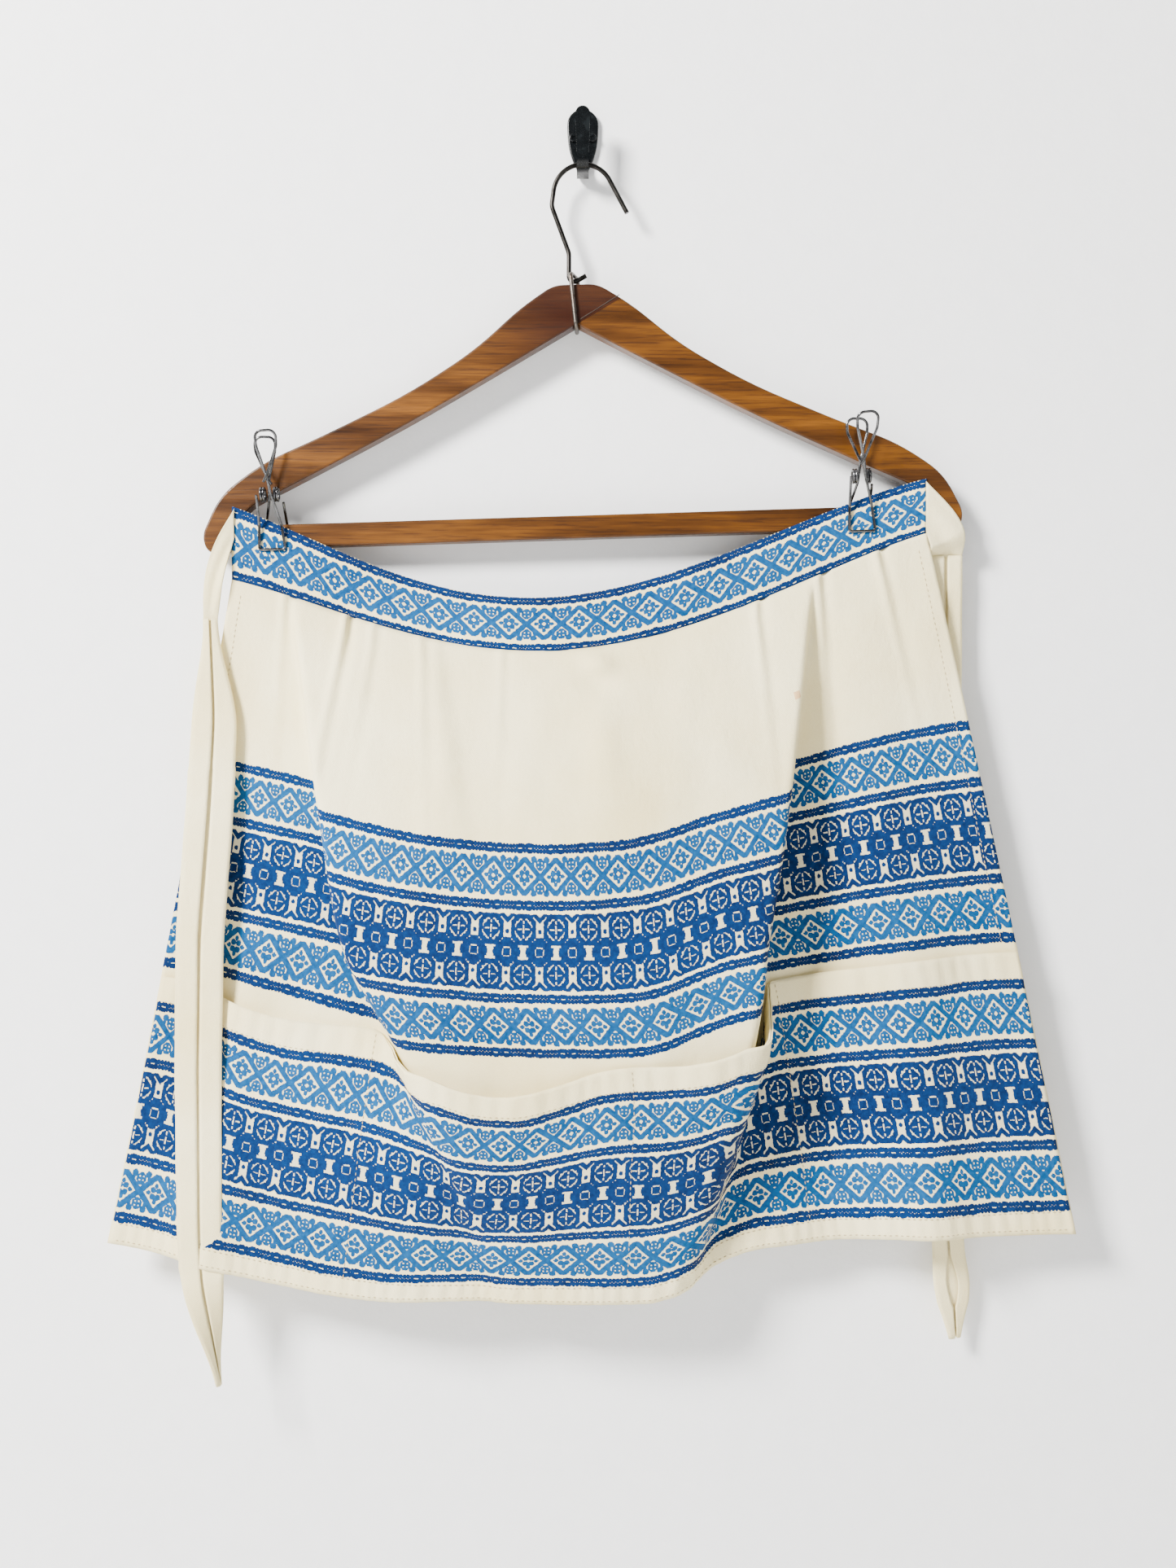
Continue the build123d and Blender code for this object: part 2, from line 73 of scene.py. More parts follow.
# ---------------------------------------------------------------- the woven pattern
CELL = 1.2                  # one step of the woven pattern, in millimetres
PERIOD = 18                 # cells in one repeat
GROUP_START = 116.0         # millimetres from the seam down to the first woven chain
GROUP_MIDDLE = 54.25        # cells from the group's edge to its middle
LIGHT_LEVEL = 38.3          # cells from the group's middle to a light band's middle
CHAIN_LEVELS = (23.8, 52.2)     # cells from the group's middle to the chains
ROSETTE_LEVEL = 11.6        # cells from the group's middle to a row of rosettes
DARK_EDGE = 19.6            # cells from the group's middle to the dark band's edge
POCKET_GROUP = 0.038        # from the pocket's top edge down to its first chain, as a share of the skirt
GROUP_END = 0.966           # where the pocket's last chain ends, as a share of the skirt
CREAM = [(0.30, (0.80, 0.67, 0.34)), (0.62, (0.91, 0.82, 0.52))]
# painted shade: grey for the cream between the blue threads of the bands, as if the raised blue floats shade
# it
SHADED_CREAM_IN_BANDS = (0.36, 0.36, 0.34)
STAIN = (0.62, 0.22, 0.03)
LIGHT_BLUE = [(0.35, (0.0008, 0.036, 0.125)), (0.75, (0.006, 0.092, 0.25))]
DARK_BLUE = [(0.35, (0.0003, 0.0080, 0.045)), (0.78, (0.0008, 0.031, 0.130))]

# browns of the wood, from its dark streaks to its light ones
BROWN = [(0.30, (0.014, 0.0036, 0.0003)), (0.50, (0.060, 0.0195, 0.0010)), (0.72, (0.165, 0.056, 0.0012))]
DARKENED_BROWN, PORE = (0.016, 0.0022, 0.0008), (0.012, 0.004, 0.0015)
DARKENING_REACH = 0.045         # metres over which the darkening fades

# ---------------------------------------------------------------- the ties' sizes
TIE_COLUMNS, TIE_ROWS, TIE_LENGTH = 43, 150, 520
LEFT_TIE_FLAT, RIGHT_TIE_FLAT = 52.0, 36.0
LEFT_TIE_ROUTE = [(-216.7, -23.5, -286), (-213.5, -26.5, -345), (-215.5, -31.5, -400), (-219.5, -38.0, -470),
                  (-219.5, -42.5, -545), (-218.8, -42.5, -640), (-217, -41.5, -672), (-209, -41, -726)]
RIGHT_TIE_ROUTE = [(213.5, -12.5, -248), (213, -12.5, -330), (213, -12.4, -470), (213.5, -12.2, -600),
                   (215, -12, -655), (217.5, -12, -680), (218.5, -12, -708)]


# ---------------------------------------------------------------- cloth shape
def smooth(x):
    """Smooth step from 0 to 1 as x goes from -1 to 1."""
    t = np.clip((x + 1) / 2, 0, 1)
    return t * t * (3 - 2 * t)


def sag(u):
    """How far the waistband hangs between its ends, from 0 at both to 1 in the middle."""
    return 0.5 * (1 - u * u) * (2 - u * u)


def bulge(u):
    """How far the waistband stands forward, from 0 near its ends to 1 in the middle."""
    return np.clip(1 - (u / 0.75) ** 2, 0, None) ** 2


def seam_z(u):
    """Height of the seam under the waistband."""
    return SEAM_Z + SEAM_RISE * u + 2 * np.sin(math.pi * u) - SEAM_SAG * sag(u)


def band_top_z(u):
    """Height of the waistband's top edge."""
    return BAND_TOP_Z + BAND_TOP_RISE * u + 6 * np.sin(math.pi * u) - BAND_TOP_SAG * sag(u)


def left_fold(f):
    """Where the front belly starts on the left, as a share of the half width seen from the front."""
    return -0.83 + 0.50 * f + 0.16 * smooth((f - 0.62) / 0.2)


def right_fold(f):
    """Where the front belly ends on the right."""
    return 0.675 - 0.50 * f


def hem_z(u):
    """The hem's height: nearly level at the sides and lower under the belly."""
    low = smooth((u + 0.72) / 0.34) * smooth((0.23 - u) / 0.13)
    return HEM_Z + HEM_RISE * u - HEM_BOW * (1 - u ** 4) * smooth((0.45 - u) / 0.3) - BELLY_DROP * low


def fold_depth(f):
    """How far the belly stands in front of the sides, which is also the cloth hidden in each fold."""
    return FOLD_DEPTH * (0.66 * np.sin(math.pi * f ** 0.85) + 0.42 * f)


def fold_wall(s, centre, depth, turn):
    """Angle of the cloth across one fold: a little past straight back in its middle, rounded at both ends."""
    window = np.radians(WALL_TURN_DEG) * smooth((depth / 2 - np.abs(s - centre)) / turn)
    step = np.gradient(s, axis=0)
    for _ in range(3):
        total = np.sum(np.sin(window) * step, axis=0, keepdims=True)
        window = window * np.clip(depth / np.maximum(total, 1e-6), 0, 1)
    return window


def side_waves(u, f):
    """Shallow waves of the whole skirt, and the soft rolls near its side edges."""
    waves = f * (1.8 * np.sin(9.0 * u + 1.0) + 1.2 * np.sin(17.0 * u + 2.1 * f))
    side = 5.0 * np.sin(0.6 * math.pi * f) * (1 - u ** 2)
    left_roll = 6.0 * f * np.exp(-((u + 0.84 - 0.05 * f) / 0.06) ** 2)
    right_roll = 6.5 * f * np.exp(-((u - 0.80 + 0.10 * f) / 0.07) ** 2)
    hollow = 4.0 * f * np.exp(-((u - 0.60 + 0.10 * f) / 0.07) ** 2)
    return -9 * f - SEAM_BULGE * bulge(u) * (1 - f) - side - waves - left_roll - right_roll + hollow


# each gather at the seam: (share of the half width, size, lean down the skirt)
GATHERS = ((-0.85, 0.8, 0.0002), (-0.67, 1.7, 0.0001), (-0.585, 0.7, 0.0), (-0.45, 0.7, 0.0006),
           (-0.22, 0.4, 0.0), (0.50, 1.0, -0.0005), (0.68, 1.2, -0.0002), (0.85, 1.2, 0.0002))


def small_folds(u, f):
    """Gathers under the waistband, pinches, long soft creases and fine wrinkles."""
    t = f * FLAT_LENGTH
    y = np.zeros_like(u)
    for centre, size, lean in GATHERS:
        run = u - centre - lean * t
        y -= size * 2.0 * np.exp(-(run / 0.011) ** 2) * np.exp(-t / 55)
        y += size * 1.3 * np.exp(-((run - 0.024) / 0.014) ** 2) * np.exp(-t / 70)
    # a broad crease that leans right from the left gathers, and a low ridge from the middle
    crease = u + 0.40 - 0.0011 * t
    y -= 3.4 * smooth(-crease / 0.03) * smooth((crease + 0.30) / 0.22) * np.exp(-((t - 55) / 62) ** 2)
    ridge = u - 0.02 - 0.0005 * t
    y -= 1.6 * np.exp(-(ridge / 0.05) ** 2) * np.exp(-((t - 70) / 50) ** 2)
    pinch = t - 10 - 55 * (u - 0.05)
    y -= 4.6 * np.exp(-((u - 0.055) / 0.042) ** 2) * np.exp(-(pinch / 5.5) ** 2)
    y += 2.6 * np.exp(-((u - 0.045) / 0.06) ** 2) * np.exp(-((pinch - 12) / 7) ** 2)
    wrinkle = (np.sin(31 * u + 5 * f + 2 * np.sin(9 * f)) * np.sin(13 * f + 4 * u) * 0.45
               + np.sin(57 * u - 11 * f) * np.sin(29 * f + 7 * u) * 0.22
               + np.sin(14 * u + 3 * np.sin(21 * f)) * np.sin(41 * f - 9 * u) * 0.25)
    ends = smooth(f / 0.05 - 1) * 0.8 + 0.2
    return y + wrinkle * ends


def fold_walls(s, f, depth):
    """Angles of the left and right fold walls at each point of the skirt."""
    seen = FLAT_HALF - depth
    left_at = -FLAT_HALF + (left_fold(f) + 1) * seen + depth / 2
    right_at = -FLAT_HALF + (right_fold(f) + 1) * seen + 1.5 * depth
    lower = smooth((f - 0.72) / 0.2)
    sharp = 1 - 0.8 * smooth((f - 0.60) / 0.13)
    left_wall = fold_wall(s, left_at, depth * sharp, 5.5 + 12.0 * (1 - sharp))
    right_wall = fold_wall(s, right_at, depth, 4.5 + 7.0 * lower)
    return left_wall, right_wall


def skirt_rows(s, f):
    """Positions of the skirt's points for flat places s across (mm) and shares f down."""
    u = s / FLAT_HALF
    depth = fold_depth(f)
    left_wall, right_wall = fold_walls(s, f, depth)
    gentle = side_waves(u, f) + small_folds(u, f)
    step = np.gradient(s, axis=0)
    sway = np.gradient(gentle, axis=0) / step
    forward = np.cumsum(np.sin(left_wall) * step, axis=0)
    forward = forward + (depth - forward[-1:]) * smooth((u + 0.66) / 0.30)
    back = np.cumsum(np.sin(right_wall) * step, axis=0)
    level = (forward - back)[-1:]
    y = BAND_Y + gentle - forward + back + level * smooth(u * 2 - 1)
    inside = np.clip((forward - back) / np.maximum(forward[-1:], 1.0), 0, 1)
    y -= 5.0 * np.sin(math.pi * f) * inside * (1 - np.clip((u + 0.08) / 0.5, -1, 1) ** 2)
    across = np.cos(left_wall) * np.cos(right_wall) * np.sqrt(np.clip(1 - sway ** 2, 0.2, 1))
    run = np.cumsum(across * step, axis=0)
    share = (run - run[:1]) / (run[-1:] - run[:1])
    left = SEAM_LEFT + (HEM_LEFT - SEAM_LEFT) * f * (1 - FLARE_LATE + FLARE_LATE * f)
    right = SEAM_RIGHT + (HEM_RIGHT - SEAM_RIGHT) * f
    x = left + share * (right - left)
    place = 2 * share - 1
    z = seam_z(place) + f * (hem_z(place) - seam_z(place)) + side_rise(place, f, inside)
    return np.stack([x, y, z], axis=-1)


def side_rise(place, f, inside):
    """How far the sides ride up and the belly sinks between the seam and the hem."""
    drop = np.sin(math.pi * np.clip(f, 0, 1) ** 0.8)
    rise = (1 - inside) * (9.5 + 5.0 * f) * (1 - 0.5 * place ** 4)
    return drop * (rise - inside * (6.5 + 7.0 * f * smooth(place * 2)))


def grid_of(s, f):
    """Two arrays that hold every pair of an across place and a down place."""
    return np.meshgrid(s, f, indexing="ij")


def pocket_humps(u, sizes):
    """One smooth hump of the given size across each pocket."""
    total = np.zeros_like(u)
    for start, end, size in zip(POCKET_SEAMS, POCKET_SEAMS[1:], sizes):
        share = np.clip((u - start) / (end - start), 0, 1)
        total = total + size * np.sin(math.pi * share) ** 2
    return total


def mouth(u):
    """The pockets' top edge, as a share of the skirt."""
    return MOUTH + pocket_humps(u, POCKET_SAGS)


def panel_gap(u, g):
    """How far the pocket panel stands in front of the skirt."""
    return PANEL_LIFT + pocket_humps(u, POCKET_GAPES) * (1 - g) ** 1.6


# ---------------------------------------------------------------- meshes
def mesh_object(name, verts, faces, uvs=None):
    """A mesh object from points in millimetres; uvs gives one pair per vertex."""
    mesh = bpy.data.meshes.new(name)
    mesh.from_pydata([tuple(v) for v in np.asarray(verts) * MM], [], [tuple(f) for f in faces])
    if uvs is not None:
        layer = mesh.uv_layers.new(name="Cloth")
        loops = np.empty(len(mesh.loops), dtype=np.int32)
        mesh.loops.foreach_get("vertex_index", loops)
        layer.data.foreach_set("uv", np.asarray(uvs)[loops].astype(np.float32).ravel())
    mesh.polygons.foreach_set("use_smooth", [True] * len(mesh.polygons))
    mesh.update()
    obj = bpy.data.objects.new(name, mesh)
    bpy.context.scene.collection.objects.link(obj)
    return obj


def grid_normals(p):
    """Unit normals of a grid of points."""
    across = np.gradient(p, axis=0)
    down = np.gradient(p, axis=1)
    n = np.cross(across, down)
    return n / np.maximum(np.linalg.norm(n, axis=-1, keepdims=True), 1e-9)


def cloth_object(name, p, uv, thick=FABRIC):
    """A closed cloth of the given thickness around a grid of points."""
    n = grid_normals(p)
    a, b = p.shape[:2]
    front = (p + n * thick / 2).reshape(-1, 3)
    back = (p - n * thick / 2).reshape(-1, 3)
    index = np.arange(a * b).reshape(a, b)
    corners = [index[:-1, :-1], index[1:, :-1], index[1:, 1:], index[:-1, 1:]]
    quads = np.stack(corners, axis=-1).reshape(-1, 4)
    rim = np.concatenate([index[:, 0], index[-1, 1:], index[-2::-1, -1], index[0, -2:0:-1]])
    around = np.roll(rim, -1)
    shift = a * b
    sides = np.stack([around, rim, rim + shift, around + shift], axis=-1)
    faces = np.concatenate([quads, quads[:, ::-1] + shift, sides])
    flat = uv.reshape(-1, 2)
    obj = mesh_object(name, np.concatenate([front, back]), faces, np.concatenate([flat, flat]))
    fix_normals(obj)
    return obj


def fix_normals(obj):
    """Turns every face of a mesh outwards."""
    bm = bmesh.new()
    bm.from_mesh(obj.data)
    bmesh.ops.recalc_face_normals(bm, faces=bm.faces)
    bm.to_mesh(obj.data)
    bm.free()


def tube_object(name, points, radius, sides=10):
    """Round tube along points (mm), closed at both ends, with radius a number or one per point."""
    p = np.asarray(points, float)
    r = np.broadcast_to(np.asarray(radius, float), (len(p),))
    tangent = np.gradient(p, axis=0)
    tangent /= np.linalg.norm(tangent, axis=1, keepdims=True)
    up = np.array([0.0, 1.0, 0.0])
    verts = []
    for centre, t, size in zip(p, tangent, r):
        side = np.cross(t, up)
        if np.linalg.norm(side) < 1e-3:
            side = np.cross(t, [1.0, 0, 0])
        side /= np.linalg.norm(side)
        other = np.cross(t, side)
        for k in range(sides):
            a = 2 * math.pi * k / sides
            verts.append(centre + size * (math.cos(a) * side + math.sin(a) * other))
    faces = []
    for i in range(len(p) - 1):
        for k in range(sides):
            m = (k + 1) % sides
            faces.append((i * sides + k, i * sides + m, (i + 1) * sides + m, (i + 1) * sides + k))
    faces.append(tuple(range(sides))[::-1])
    faces.append(tuple((len(p) - 1) * sides + k for k in range(sides)))
    obj = mesh_object(name, verts, faces)
    fix_normals(obj)
    return obj


def along_line(values, run, at):
    """The value at a distance along a line whose points lie at the distances in run."""
    return np.array([np.interp(at, run, values[:, k]) for k in range(3)])


def stitches_object(name, lines, length=2.3, gap=1.0, width=0.75, proud=0.42):
    """Rows of sewn stitches along lines of (points, outward normals)."""
    verts, faces = [], []
    for points, normals in lines:
        points, normals = np.asarray(points, float), np.asarray(normals, float)
        steps = np.linalg.norm(np.diff(points, axis=0), axis=1)
        run = np.concatenate([[0], np.cumsum(steps)])
        place = 0.6
        while place + length < run[-1]:
            ends = [along_line(points, run, at) for at in (place, place + length)]
            out = along_line(normals, run, place)
            out /= np.linalg.norm(out)
            along = ends[1] - ends[0]
            along /= max(np.linalg.norm(along), 1e-9)
            side = np.cross(along, out) * width / 2
            middle = (ends[0] + ends[1]) / 2
            top = middle + out * proud
            first = len(verts)
            verts += [ends[0], middle + side, ends[1], middle - side, top, middle - out * 0.3]
            for k in range(4):
                m = (k + 1) % 4
                faces += [(first + k, first + m, first + 4), (first + m, first + k, first + 5)]
            place += length + gap
    obj = mesh_object(name, verts, faces)
    fix_normals(obj)
    return obj


# ---------------------------------------------------------------- shader maths
class Value:
    """A number worked out by shader nodes, so a pattern reads as a formula."""

    def __init__(self, tree, socket):
        self.tree, self.socket = tree, socket

    def _math(self, operation, *others):
        """One maths node on this value and the others."""
        node = self.tree.nodes.new("ShaderNodeMath")
        node.operation = operation
        for slot, item in zip(node.inputs, (self, *others)):
            if isinstance(item, Value):
                self.tree.links.new(item.socket, slot)
            else:
                slot.default_value = item
        return Value(self.tree, node.outputs[0])

    def __add__(self, other):
        return self._math("ADD", other)

    def __sub__(self, other):
        return self._math("SUBTRACT", other)

    def __mul__(self, other):
        return self._math("MULTIPLY", other)

    def __lt__(self, other):
        return self._math("LESS_THAN", other)

    def __gt__(self, other):
        return self._math("GREATER_THAN", other)

    def __and__(self, other):
        return self._math("MULTIPLY", other)

    def __or__(self, other):
        return self._math("MAXIMUM", other)

    def __neg__(self):
        return self._math("MULTIPLY", -1.0)

    def __abs__(self):
        return self._math("ABSOLUTE")

    def floor(self):
        return self._math("FLOOR")

    def max(self, other):
        return self._math("MAXIMUM", other)

    def min(self, other):
        return self._math("MINIMUM", other)

    def inverse(self):
        """0 for 1 and 1 for 0."""
        return (-self) + 1.0

    def sine(self):
        return self._math("SINE")

    def wrapped(self, period):
        """Repeats from minus half a period to plus half a period."""
        return self._math("WRAP", period / 2, -period / 2)

    def between(self, low, high):
        """1 inside the two limits and 0 outside."""
        return (self > low) & (self < high)


def new_material(name):
    """A material with its node tree and its main shader."""
    material = bpy.data.materials.new(name)
    material.use_nodes = True
    tree = material.node_tree
    shader = tree.nodes["Principled BSDF"]
    return material, tree, shader


def noise(tree, vector, scale, detail=3.0, rough=0.55):
    """Noise between 0 and 1; more scale is finer."""
    node = tree.nodes.new("ShaderNodeTexNoise")
    node.inputs["Scale"].default_value = scale
    node.inputs["Detail"].default_value = detail
    node.inputs["Roughness"].default_value = rough
    tree.links.new(vector, node.inputs["Vector"])
    return Value(tree, node.outputs["Fac"])


def object_place(tree, scale=(1, 1, 1), rotation=(0, 0, 0)):
    """The point on the object, in metres, turned and stretched."""
    coord = tree.nodes.new("ShaderNodeTexCoord")
    mapping = tree.nodes.new("ShaderNodeMapping")
    mapping.inputs["Scale"].default_value = scale
    mapping.inputs["Rotation"].default_value = rotation
    tree.links.new(coord.outputs["Object"], mapping.inputs["Vector"])
    return mapping.outputs["Vector"]


def ramp(tree, value, stops):
    """A colour for a value, between (place, colour) stops."""
    node = tree.nodes.new("ShaderNodeValToRGB")
    elements = node.color_ramp.elements
    while len(elements) < len(stops):
        elements.new(0.5)
    for element, (place, colour) in zip(elements, stops):
        element.position = place
        element.color = (*colour, 1)
    tree.links.new(value.socket, node.inputs["Fac"])
    return node.outputs["Color"]


def mixed(tree, share, low, high):
    """A mix of two colours, each a socket or a plain colour."""
    node = tree.nodes.new("ShaderNodeMix")
    node.data_type = "RGBA"
    tree.links.new(share.socket, node.inputs["Factor"])
    for item, slot in ((low, node.inputs["A"]), (high, node.inputs["B"])):
        if isinstance(item, tuple):
            slot.default_value = (*item, 1)
        else:
            tree.links.new(item, slot)
    return node.outputs["Result"]


def bumped(tree, shader, height, distance, strength=1.0):
    """Gives a shader the relief of a height."""
    node = tree.nodes.new("ShaderNodeBump")
    node.inputs["Distance"].default_value = distance
    node.inputs["Strength"].default_value = strength
    tree.links.new(height.socket, node.inputs["Height"])
    tree.links.new(node.outputs["Normal"], shader.inputs["Normal"])


def octagon(a, b):
    """Distance from a middle whose level lines are octagons, for rounded motifs."""
    return a.max(b).max((a + b) * 0.72)


def stepped(x):
    """Rounds to the steps of the weave's sloping edges."""
    return (x * 0.8).floor() * 1.25 + 0.6


def light_band(p, q):
    """Stepped lozenges that cross, each with a white ring and a small flower; p and q count cells."""
    a, b = abs(p), abs(q)
    far = -a + PERIOD / 2
    outline = (a + b).between(6.75, 10.9) & (b < 9.6)
    squares = octagon(abs(a - 1.6), abs(b - 1.65)) < 1.55
    tips = (octagon(a, abs(b - 3.9) * 0.8) < 1.05) | (octagon(abs(a - 3.9) * 0.8, b) < 1.05)
    knobs = (octagon(abs(a - 5.3), abs(b - 8.5)) < 1.7) | ((abs(a - 4.9) < 0.9) & b.between(4.8, 8.6))
    berries = octagon(far, abs(b - 6.1) * 0.85) < 2.6
    seeds = abs(far - 0.85).max(abs(abs(b - 6.1) - 1.0)) < 0.32
    return outline | squares | tips | knobs | (berries & seeds.inverse())


def rosette_band(p, r):
    """Two rows of ringed rosettes with a staggered row of lozenges between; p and r count cells."""
    a, b = abs(p), abs(r)
    row = abs(b - ROSETTE_LEVEL)
    far = -a + PERIOD / 2
    rosette = (a * 1.04).max(row * 0.92).max((a + row) * 0.66) < 7.3
    ring = octagon(a * 1.06, row * 0.95).between(4.5, 5.0) & (a.min(row) > 1.1)
    cross = ((a < 0.3) & (row < 1.9)) | ((row < 0.26) & a.between(0.9, 3.2))
    slits = cross | ((a < 0.26) & row.between(3.0, 4.4))
    corners = octagon(abs(a - 3.5), abs(row - 3.4)) < 0.55
    diamond = (stepped(far) + stepped(b) < 9.2) & (far.max(b) < 7.7)
    lozenge = diamond | (octagon(abs(far - 4.6), abs(b - 4.2)) < 1.2)
    window = far.max(b).between(2.0, 2.45) & (far.min(b) < 1.6)
    garland = (abs(b - 16.2 - far) < 1.7) & (far < 4.0)
    cap = b.between(17.2, 19.3) & (a < 5.4)
    notch = octagon(abs(a - 3.0), abs(b - 19.5)) < 0.8
    buds = octagon(far, abs(b - 10.4)) < 1.15
    whole = ((rosette & (ring | slits | corners).inverse()) | (lozenge & window.inverse()) | garland
             | (cap & notch.inverse()) | buds)
    return whole & (b < DARK_EDGE)


def chain_band(along, v):
    """Two offset rows of dots with pairs of larger ovals; v counts cells from the chain's middle."""
    pitch, apart = 1.9, 1.15
    upper, lower = along.wrapped(pitch), (along + pitch / 2).wrapped(pitch)
    upper_dots = octagon(abs(upper) * 1.12, abs(v + apart)) < 1.3
    dots = upper_dots | (octagon(abs(lower) * 1.12, abs(v - apart)) < 1.3)
    place = abs(along.wrapped(PERIOD))
    ovals = octagon(abs(place - 2.9) * 0.85, abs(v) * 0.78) < 2.15
    slit = (abs(v) < 0.2) & (abs(place - 2.9) < 1.0)
    return (dots | ovals) & slit.inverse() & (abs(v) < 2.7)


def snapped(x):
    """Rounds to the middle of a third of a cell, so that motifs have woven steps."""
    return (x * 3).floor() * (1 / 3) + 1 / 6


def pattern(across, down):
    """The light, dark and chain parts of one woven group; across and down count cells."""
    p = snapped(across).wrapped(PERIOD)
    level = abs(snapped(down) - GROUP_MIDDLE)
    chains = [chain_band(across, abs(down - GROUP_MIDDLE) - middle) for middle in CHAIN_LEVELS]
    return light_band(p, level - LIGHT_LEVEL), rosette_band(p, level), chains[0] | chains[1]


def weave_bands(tree, place, patches, across, down, colour):
    """The blue bands over the cream: the new colour, with painted shade on the cream inside the bands, and
    where the raised threads are.
    """
    fray = (noise(tree, place, 700.0, 2.0) - 0.5) * 0.9
    drift = (noise(tree, place, 55.0, 1.0) - 0.5) * 1.2
    cells_down = (down - GROUP_START) * (1 / CELL)
    light, dark, chain = pattern(across * (1 / CELL) + fray, cells_down + fray + drift)
    worn = noise(tree, place, 420.0, 2.0) * 0.6 + patches * 0.5
    level = abs(cells_down - GROUP_MIDDLE)
    # painted shade: the cream inside the dark band is darkened most, and the cream inside the light bands
    # less, as if shaded by the blue floats
    shaded = (level < 19.0) * 0.42 + level.between(29.5, 47.5) * 0.18
    colour = mixed(tree, shaded, colour, SHADED_CREAM_IN_BANDS)
    colour = mixed(tree, light, colour, ramp(tree, worn, LIGHT_BLUE))
    colour = mixed(tree, (dark | chain), colour, ramp(tree, worn, DARK_BLUE))
    return colour, light | dark | chain


def cotton(name, woven):
    """Cream cotton with a plain weave, and the blue woven bands where they are asked for."""
    material, tree, shader = new_material(name)
    uv = tree.nodes.new("ShaderNodeUVMap")
    uv.uv_map = "Cloth"
    split = tree.nodes.new("ShaderNodeSeparateXYZ")
    tree.links.new(uv.outputs["UV"], split.inputs["Vector"])
    across, down = Value(tree, split.outputs["X"]), Value(tree, split.outputs["Y"])
    place = object_place(tree)
    patches = noise(tree, place, 9.0, 4.0)
    threads = noise(tree, place, 900.0, 2.0)
    weave = (across * (2 * math.pi / 1.15)).sine() * (down * (2 * math.pi / 1.05)).sine() * 0.5 + 0.5
    spot = (abs(across - 168.0).max(abs(down - 62.0)) + patches * 4.0 < 4.6) & (down < 80.0)
    colour = mixed(tree, spot * 0.55, ramp(tree, patches * 0.8 + threads * 0.2, CREAM), STAIN)
    crinkle = noise(tree, object_place(tree, (1.0, 1.0, 0.6)), 210.0, 4.0, 0.6)
    relief = weave * 0.30 + threads * 0.4 + crinkle * 1.6
    if woven:
        colour, raised = weave_bands(tree, place, patches, across, down, colour)
        relief = relief + raised * 1.3
    tree.links.new(colour, shader.inputs["Base Color"])
    shader.inputs["Roughness"].default_value = 0.86
    shader.inputs["Sheen Weight"].default_value = 0.03
    shader.inputs["Sheen Roughness"].default_value = 0.6
    shader.inputs["Specular IOR Level"].default_value = 0.08
    bumped(tree, shader, relief, 0.00042, 0.85)
    return material


def varnished_wood(name, angle_deg, dark_place):
    """Mid-brown varnished beech, grain along the piece and darker towards the given place (metres)."""
    material, tree, shader = new_material(name)
    turned = (0, math.radians(angle_deg), 0)
    long_grain = object_place(tree, (7.0, 90.0, 90.0), turned)
    fine_grain = object_place(tree, (30.0, 900.0, 900.0), turned)
    broad = noise(tree, long_grain, 1.0, 5.0, 0.6)
    fine = noise(tree, fine_grain, 1.0, 3.0, 0.6)
    pores = fine.between(0.0, 0.40)
    brown = ramp(tree, broad * 0.75 + fine * 0.25, BROWN)
    coord = tree.nodes.new("ShaderNodeTexCoord")
    away = tree.nodes.new("ShaderNodeVectorMath")
    away.operation = "DISTANCE"
    tree.links.new(coord.outputs["Object"], away.inputs[0])
    away.inputs[1].default_value = dark_place
    distance = Value(tree, away.outputs["Value"])
    # the wood turns a darker brown towards the given place, fading out over a few centimetres
    near = (distance * (-1 / DARKENING_REACH) + 1.45 + (broad - 0.5) * 1.2).max(0.0).min(1.0)
    colour = mixed(tree, near * 0.8, brown, DARKENED_BROWN)
    colour = mixed(tree, pores * 0.4, colour, PORE)
    tree.links.new(colour, shader.inputs["Base Color"])
    shine = ramp(tree, broad, [(0.3, (0.30, 0.30, 0.30)), (0.8, (0.46, 0.46, 0.46))])
    tree.links.new(shine, shader.inputs["Roughness"])
    shader.inputs["Coat Weight"].default_value = 0.10
    shader.inputs["Specular IOR Level"].default_value = 0.22
    shader.inputs["Coat Roughness"].default_value = 0.25
    bumped(tree, shader, fine * 0.6 + broad * 0.4, 0.0003, 0.6)
    return material


def metal(name, low, high, roughness, metallic=1.0, worn=None, coat=0.0):
    """Bare or painted metal with a fine uneven finish."""
    material, tree, shader = new_material(name)
    place = object_place(tree)
    broad = noise(tree, place, 160.0, 4.0)
    fine = noise(tree, place, 1400.0, 2.0)
    colour = ramp(tree, broad * 0.7 + fine * 0.3, [(0.35, low), (0.65, high)])
    if worn:
        spots = broad.between(0.60, 1.0)
        colour = mixed(tree, spots * 0.5, colour, worn)
    tree.links.new(colour, shader.inputs["Base Color"])
    shader.inputs["Metallic"].default_value = metallic
    extremes = [(0.3, (roughness - 0.08,) * 3), (0.7, (roughness + 0.1,) * 3)]
    spread = ramp(tree, fine * 0.5 + broad * 0.5, extremes)
    tree.links.new(spread, shader.inputs["Roughness"])
    shader.inputs["Coat Weight"].default_value = coat
    shader.inputs["Specular IOR Level"].default_value = 0.2 if metallic == 0 else 0.5
    bumped(tree, shader, fine * 0.5 + broad * 0.5, 0.00012, 0.5)
    return material


def thread_material():
    """Slightly darker sewing thread."""
    material, tree, shader = new_material("cream_thread")
    place = object_place(tree)
    twist = noise(tree, place, 1600.0, 2.0)
    colour = ramp(tree, twist, [(0.3, (0.36, 0.27, 0.12)), (0.7, (0.62, 0.50, 0.28))])
    tree.links.new(colour, shader.inputs["Base Color"])
    shader.inputs["Roughness"].default_value = 0.8
    bumped(tree, shader, twist, 0.0001, 0.5)
    return material


